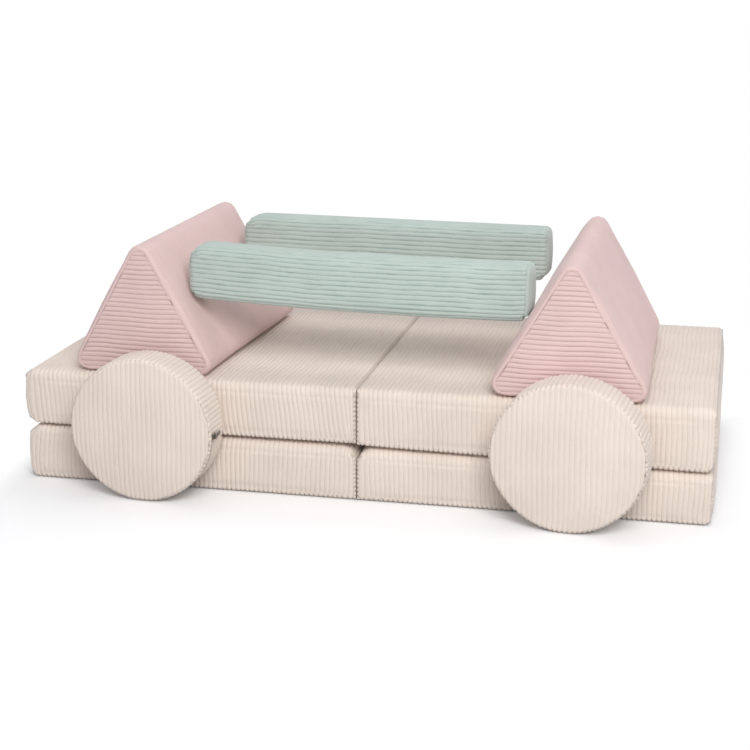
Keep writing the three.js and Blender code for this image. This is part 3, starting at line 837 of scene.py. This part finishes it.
bar = {
    "axis": 0,
    "rims": (14, 14),
    "turns": (math.pi / 4, 0.5),
    "corners": ((-36.5, -48), (36.5, -48), (36.5, 48), (-36.5, 48)),
    "radii": (14, 14, 14, 14),
    "ribsRound": True,
    "endRibsUp": True,
    "endSpare": 0,
    "reliefs": (1, 0.45),
    "wander": 0.6,
    "zipMarks": (-231.8, -230.6, 230.6, 231.8),
    "zip": {"length": 460, "rise": -24, "width": 6, "thickness": 2.2, "back": 36.5},
    "slot": "mint_corduroy",
    "colour": "mint",
    "voxel": 5,
}
disc = {
    "axis": 1,
    "half": 37.5,
    "radius": 126,
    "rims": (7, 7),
    "turns": (math.pi / 4, math.pi / 4),
    "corners": ((-126, -126), (126, -126), (126, 126), (-126, 126)),
    "radii": (126, 126, 126, 126),
    "ribsRound": True,
    "endRibsUp": True,
    "endSpare": 0.4,
    "reliefs": (0.9, 0.65),
    "flatten": 0,
    "gather": (6, 0.9),
    "wander": 0.7,
    "zipMarks": (-18.3, -17.1, -9.9, -8.7),
    "slot": "cream_corduroy",
    "colour": "cream",
    "voxel": 5,
}
discZip = {"turn": math.pi / 3, "lead": 4.5, "rise": -13.5, "width": 6, "thickness": 2.2}
kinds = {
    "matHalf": {
        "pattern": "mat_lower_left",
        "axis": 0,
        "half": 300,
        "rims": (9, 1.6),
        "turns": (1.2, math.pi / 4),
        "reliefs": (0.85, 0.9),
        "wander": 1,
        "hinge": (60, 560),
        "pucker": (3, 7, 1.2),
        "seamShares": (1, 0.15),
        "flatten": 0.3,
        "stitch": 1.3,
        "lastRib": 0.5,
        "corners": ((-300, 0), (300, 0), (300, 100), (-300, 100)),
        "radii": (6, 6, 16, 16),
        "ribsRound": False,
        "endRibsUp": False,
        "endSpare": 0,
        "hems": (18,),
        "roundMarks": (15.6, 16.8, 18, 19.2, 20.4, 28.6, 30, 589, 590.4, 616.8, 618.4, 625.6, 627.2),
        "zip": {"length": 480, "rise": 26, "width": 6, "thickness": 2.2, "back": 300},
        "slot": "cream_corduroy",
        "colour": "cream",
        "voxel": 8,
    },
    "triangle": {
        "pattern": "triangle_left",
        "axis": 1,
        "half": 245,
        "rims": (9, 9),
        "turns": (math.pi / 2, math.pi / 2),
        "reliefs": (0.6, 1),
        "wander": 0.6,
        "seamShares": (0.6, 0.6),
        "flatten": 0.9,
        "topstitches": ((6.6, 1.2, 0.9), (10.5, 1.2, 0.4)),
        "square": 0.6,
        "corners": ((-140, 0), (140, 0), (0, 250)),
        "radii": (22, 22, 22),
        "centre": (0, 85),
        "ribsRound": False,
        "endRibsUp": False,
        "endSpare": 0.5,
        "endMarks": (-91.8, -90.6, 90.6, 91.8),
        "zip": {"length": 180, "rise": 28, "width": 6, "thickness": 2.2, "back": 245},
        "slot": "pink_corduroy",
        "colour": "pink",
        "voxel": 6,
    },
    "barFront": {**bar, "pattern": "bar_front", "half": 298.5, "sag": 5},
    "barRear": {**bar, "pattern": "bar_rear", "half": 297, "turns": (math.pi / 4, math.pi / 3)},
    "discLeft": {
        **disc,
        "pattern": "disc_left",
        "zip": {**discZip, "first": -0.03},
    },
    "discRight": {
        **disc,
        "pattern": "disc_right",
        "zip": {**discZip, "first": -2.4},
    },
}
for name, kind in kinds.items():
    kind["name"] = name


# Where the forms below start and how far they fade out, in mm. A turn is in radians, shares have no unit
fades = {
    "rounded": 90,
    "bulge": 70,
    "tuck": 60,
    "spreadBack": (-200, 400),
    "spreadFoot": (40, 110),
    "splay": 400,
    "swellTurn": (0.7, 0.35),
    "swellFront": (-20, 9),
    "swellFloor": (100, 1.26),
    "swellShares": (1, 0.35),
    "pressFront": (-300, 80),
    "pressCurve": 0.6,
}


# How a block lies at rest: a sagging bar, worn or bulged ends, spread feet, a front edge pressed down
def settle(block, points):
    place = blocks[block]
    kind = kinds[place["kind"]]
    points = points.copy()
    points[:, 2] -= hangOf(kind, points)
    for sideX, sideZ, radius, reach in place.get("rounded", ()):
        sides = np.array([sideX, sideZ])
        height = kind["corners"][2 if sideZ > 0 else 0][1]
        corner = np.array([sideX * (kind["half"] - radius), height - sideZ * radius]) * mm
        away = (points[:, [0, 2]] - corner) * sides
        square, straight = away.max(axis=1), np.maximum(np.linalg.norm(away, axis=1), grid["least"])
        front = 1 - smoothStep((points[:, 1] - reach * mm) / (fades["rounded"] * mm))
        pull = (square / straight - 1) * front * (away > 0).all(axis=1)
        points[:, [0, 2]] += away * sides * pull[:, None]
    half, height = kind["half"] * mm, kind["corners"][2][1] * mm
    if "bulge" in place:
        arch = np.clip(1 - (points[:, 2] / (height / 2) - 1) ** 2, 0, 1)
        end = 1 - smoothStep((points[:, 0] + half) / (fades["bulge"] * mm))
        points[:, 0] -= place["bulge"] * mm * arch * end
    if "tuck" in place:
        end = smoothStep((points[:, 0] - half) / (fades["tuck"] * mm) + 1)
        points[:, 0] -= place["tuck"] * mm * end
    if "spread" in place:
        reach, start = (value * mm for value in place["spread"])
        back, depth, width, rise = (value * mm for value in fades["spreadBack"] + fades["spreadFoot"])
        behind = smoothStep((points[:, 1] - back) / depth)
        foot = smoothStep((points[:, 0] - start) / width) * (1 - smoothStep(points[:, 2] / rise))
        points[:, 0] += reach * foot * behind
    if "splay" in place:
        front = 1 - smoothStep((points[:, 1] + half) / (fades["splay"] * mm))
        points[:, 0] *= 1 + place["splay"] * front * (1 - points[:, 2] / height)
    if "swell" in place:
        angle = np.arctan2(points[:, 2], points[:, 0])
        chain = kind["zip"]
        middle = chain["first"] - chain["turn"] / 2
        off = np.abs((angle - middle + math.pi) % (2 * math.pi) - math.pi)
        (turn, turnFade), (front, frontFade) = fades["swellTurn"], fades["swellFront"]
        beside = np.maximum(
            smoothStep((off - turn) / turnFade), smoothStep((front * mm - points[:, 1]) / (frontFade * mm))
        )
        depth, shift = fades["swellFloor"]
        share = place["swell"] / kind["radius"] * beside * smoothStep(points[:, 2] / (depth * mm) + shift)
        points[:, [0, 2]] += points[:, [0, 2]] * share[:, None] * np.array(fades["swellShares"])
    if "press" in place:
        side, near, far = place["press"]
        run = np.clip(0.5 - points[:, 0] / (2 * half), 0, 1)
        first, fade = (value * mm for value in fades["pressFront"])
        front = 1 - smoothStep((points[:, 1] - first) / fade)
        rise = np.clip(points[:, 2] / height, 0, 1)
        share = rise if side == "top" else 1 - rise
        points[:, 2] -= (near + (far - near) * run ** fades["pressCurve"]) * mm * front * share
    return points


def partName(block, part):
    words = block.split("_") + [part]
    return words[0] + "".join(word.capitalize() for word in words[1:])


# Stands a copy of a piece in its block's place, as that block's part
def stand(block, piece, part, points):
    place = blocks[block]
    copy = piece.copy()
    copy.data = piece.data.copy()
    copy.name = partName(block, part)
    copy.hide_render = False
    scene.collection.objects.link(copy)
    mesh = copy.data
    writePoints(mesh, points)
    if place.get("mirror"):
        mesh.transform(Matrix.Scale(-1, 4, (1, 0, 0)))
        mesh.flip_normals()
    mesh.transform(homeOf(block))
    mesh.update()
    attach(copy, block)
    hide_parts(f"{block}_{part}")
    return copy


# The cloth's wales wander a little, each cover in its own way, and lean on the front of some mattresses
def wander(block, mesh, seed):
    place = blocks[block]
    kind = kinds[place["kind"]]
    points = readPoints(mesh)
    nap, cross = readValues(mesh, "nap", 3), readValues(mesh, "cross", 3)
    shift = np.zeros(len(points))
    perSeed, perWave = cloth["waveShifts"]
    for number, (size, alongWave, acrossWave) in enumerate(cloth["waves"]):
        turns = nap[:, 1] / alongWave + nap[:, 0] / acrossWave
        wave = np.sin(2 * math.pi * turns + perSeed * seed + perWave * number)
        shift += size * mm * wave * kind["wander"]
    if "lean" in place:
        first, fade = (value * mm for value in cloth["lean"])
        front = smoothStep((first - points[:, 1]) / fade) * (readValues(mesh, "panel") < 0.5)
        lean = -place["lean"] if place.get("mirror") else place["lean"]
        shift += lean * (kind["corners"][2][1] * mm - points[:, 2]) * front
    window = smoothStep(readValues(mesh, "seam") / cloth["still"])
    return points + cross * (shift * window)[:, None]


metalEdge = {"width": 0.2, "segments": 2}
makes = {"cover": makeSkin, "core": makeCore, "zip": makeZip}
patterns = {name: {part: make(kind) for part, make in makes.items()} for name, kind in kinds.items()}
for seed, (block, place) in enumerate(blocks.items()):
    kind = kinds[place["kind"]]
    skin, core, chain = (patterns[place["kind"]][part] for part in ("cover", "core", "zip"))
    cover = stand(block, skin, "cover", settle(block, wander(block, skin.data, seed)))
    cover.data.materials.clear()
    cover.data.materials.append(materials[kind["colour"]])
    for name in ("rib", "seam", "hem", "panel", "cross"):
        cover.data.attributes.remove(cover.data.attributes[name])
    inner = stand(block, core, "core", settle(block, readPoints(core.data)))
    inner.data.materials.clear()
    inner.data.materials.append(materials["foam"])
    stand(block, chain, "zip", readPoints(chain.data))
    for part in ("slider", "pull"):
        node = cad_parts[f"{block}_{part}"]
        node.data.materials.clear()
        node.data.materials.append(materials["metal"])
        weld = node.modifiers.new("weld", "WELD")
        weld.merge_threshold = grid["merge"]
        edges = node.modifiers.new("edges", "BEVEL")
        edges.width = metalEdge["width"] * mm
        edges.segments = metalEdge["segments"]
for pieces in patterns.values():
    for piece in pieces.values():
        bpy.data.objects.remove(piece)
print("blocks placed")


# Cloth hinges: a woven strip under the fold of each mattress
hinge = {"width": 60, "length": 560, "thickness": 0.7, "middle": 44.7478, "bend": 1.5}
hingeBases = {"mat_lower": 0.15, "mat_upper": 100.45}
hingeSteps = {"x_subdivisions": 60, "y_subdivisions": 112}
for mattress, base in hingeBases.items():
    strip = addMesh(bpy.ops.mesh.primitive_grid_add, size=1, **hingeSteps)
    strip.name = partName(mattress, "hinge") + "Strip"
    place = Matrix.Translation((0, hinge["middle"] * mm, base * mm))
    strip.data.transform(place @ Matrix.Diagonal((hinge["width"] * mm, hinge["length"] * mm, 1, 1)))
    applyModifier(strip, "SOLIDIFY", thickness=hinge["thickness"] * mm, offset=1)
    strip.data.materials.append(materials["strip"])
    bend = Vector((hinge["bend"] * mm, 0, 0))
    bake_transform(strip, mattress + "_left", mattress + "_right", start=-bend, end=bend)
    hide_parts(mattress + "_hinge_strip")
print("hinge strips placed")


# Camera, floor and light
camera = {"at": (0.6086, -2.86235, 0.956), "down": 0.2668, "left": 0.2171, "lens": 79.0, "sensor": 36}
lens = bpy.data.cameras.new("camera")
lens.lens = camera["lens"]
lens.sensor_width = camera["sensor"]
viewer = bpy.data.objects.new("camera", lens)
viewer.location = camera["at"]
viewer.rotation_euler = (math.pi / 2 - camera["down"], 0, camera["left"])
scene.collection.objects.link(viewer)
scene.camera = viewer

# The floor is matt paper that glows from near the sofa outwards, so that its shadow fades into the white
light = {
    "floor": 40.0,
    "drop": -0.0005,
    "bounce": 0.6,
    "glow": (0.05, 1.0),
    "glowReach": (0.95, 1.7),
    "footprint": (0.6, 0.35),
    "edgeReach": 0.06,
    "world": 0.46,
    "sky": "F7F9FF",
    "lamps": {
        "softbox": {"at": (1.107, -3.041, 2.501), "width": 1.9, "power": 105.0},
        "overhead": {"at": (0.3, 1.2, 3.3), "width": 2.6, "power": 26.0},
    },
    "aim": (0.0, 0.0, 0.15),
}
floor = addMesh(bpy.ops.mesh.primitive_plane_add, size=light["floor"], location=(0, 0, light["drop"]))
floor.name = "floor"
paper, tree = newMaterial("matt white paper")
rays = addNode(tree, "ShaderNodeLightPath")
seen = rays.outputs["Is Camera Ray"]
white = addNode(tree, "ShaderNodeMapRange", {"Value": seen, "To Min": light["bounce"], "To Max": 1.0})
diffuse = addNode(tree, "ShaderNodeBsdfDiffuse", {"Color": white.outputs[0]})
glow = addNode(tree, "ShaderNodeEmission", {"Color": colourOf("FFFFFF"), "Strength": 1.0})
place = addNode(tree, "ShaderNodeTexCoord").outputs["Object"]
away = addNode(tree, "ShaderNodeVectorMath", {0: place}, operation="LENGTH")
sides = addNode(tree, "ShaderNodeSeparateXYZ", {0: place})
aside = addNode(tree, "ShaderNodeMath", {0: sides.outputs["X"]}, operation="ABSOLUTE")
width, depth = light["footprint"]
aside = addNode(tree, "ShaderNodeMath", {0: aside.outputs[0], 1: width}, operation="SUBTRACT")
behind = addNode(tree, "ShaderNodeMath", {0: sides.outputs["Y"], 1: depth}, operation="SUBTRACT")
beyond = addNode(tree, "ShaderNodeMath", {0: aside.outputs[0], 1: behind.outputs[0]}, operation="MAXIMUM")
glows = dict(zip(("To Min", "To Max"), light["glow"]))
reaches = dict(zip(("From Min", "From Max"), light["glowReach"]))
edge = addNode(
    tree, "ShaderNodeMapRange", {"Value": beyond.outputs[0], "From Max": light["edgeReach"], **glows}
)
fade = addNode(tree, "ShaderNodeMapRange", {"Value": away.outputs["Value"], **reaches, **glows})
fade = addNode(tree, "ShaderNodeMath", {0: fade.outputs[0], 1: edge.outputs[0]}, operation="MAXIMUM")
glowing = addNode(tree, "ShaderNodeMath", {0: seen, 1: fade.outputs[0]}, operation="MULTIPLY")
inputs = {0: glowing.outputs[0], 1: diffuse.outputs[0], 2: glow.outputs[0]}
mixed = addNode(tree, "ShaderNodeMixShader", inputs)
shade(tree, mixed)
floor.data.materials.append(paper)

# Camera and reflections see a white sky, and the cloth is lit by a dimmer, cooler one
world = bpy.data.worlds.new("studio")
world.use_nodes = True
tree = world.node_tree
tree.nodes.clear()
rays = addNode(tree, "ShaderNodeLightPath")
direct = rays.outputs["Is Camera Ray"]
for other in ("Is Glossy Ray", "Is Transmission Ray"):
    either = addNode(tree, "ShaderNodeMath", {0: direct, 1: rays.outputs[other]}, operation="MAXIMUM")
    direct = either.outputs[0]
strength = addNode(tree, "ShaderNodeMapRange", {"Value": direct, "To Min": light["world"], "To Max": 1.0})
colours = {0: direct, 6: colourOf(light["sky"]), 7: colourOf("FFFFFF")}
tint = addNode(tree, "ShaderNodeMix", colours, data_type="RGBA")
sky = addNode(tree, "ShaderNodeBackground", {"Color": tint.outputs[2], "Strength": strength.outputs[0]})
addNode(tree, "ShaderNodeOutputWorld", {"Surface": sky.outputs[0]})
scene.world = world

for name, place in light["lamps"].items():
    lamp = bpy.data.lights.new(name, "AREA")
    lamp.shape = "SQUARE"
    lamp.size = place["width"]
    lamp.energy = place["power"]
    holder = bpy.data.objects.new(name, lamp)
    holder.location = place["at"]
    holder.rotation_euler = (Vector(light["aim"]) - holder.location).to_track_quat("-Z", "Y").to_euler()
    scene.collection.objects.link(holder)
print("camera, floor and light made")
